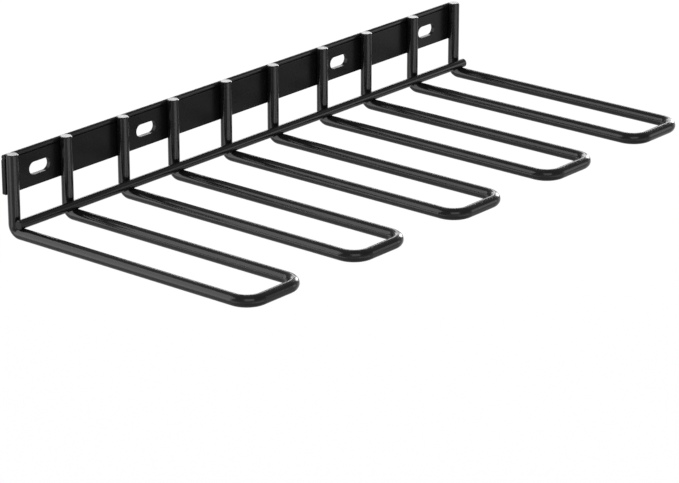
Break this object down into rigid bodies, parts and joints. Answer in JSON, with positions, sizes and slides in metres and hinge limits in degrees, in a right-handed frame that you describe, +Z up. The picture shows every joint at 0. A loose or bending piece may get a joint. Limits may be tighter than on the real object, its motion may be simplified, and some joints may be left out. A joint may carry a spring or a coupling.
{
  "type": "wall mounted power tool organizer",
  "caption": "Wall rack of bent wire loops on a slotted flat bar, tied by a cross rod. Power tools hang upside down, the grip between neighbouring loops and the battery on the arms.",
  "frame": {"origin": "centre of the slot pattern on the back face of the mounting plate, which is the face that lies on the wall", "axes": "+X along the plate, +Y into the wall, +Z up; the loops stand out towards -Y"},
  "size_m": [0.4666, 0.2113, 0.0567],
  "materials": {
    "wire_coating": "black semi-gloss powder coat on steel wire",
    "plate_coating": "black semi-gloss powder coat on a steel flat bar"
  },
  "bodies": {
    "root": {"mounting_plate": "plate_coating", "top_wire": "wire_coating", "cross_rod": "wire_coating", "tool_loop_1": "wire_coating", "tool_loop_2": "wire_coating", "tool_loop_3": "wire_coating", "tool_loop_4": "wire_coating", "tool_loop_5": "wire_coating"}
  },
  "joints": []
}
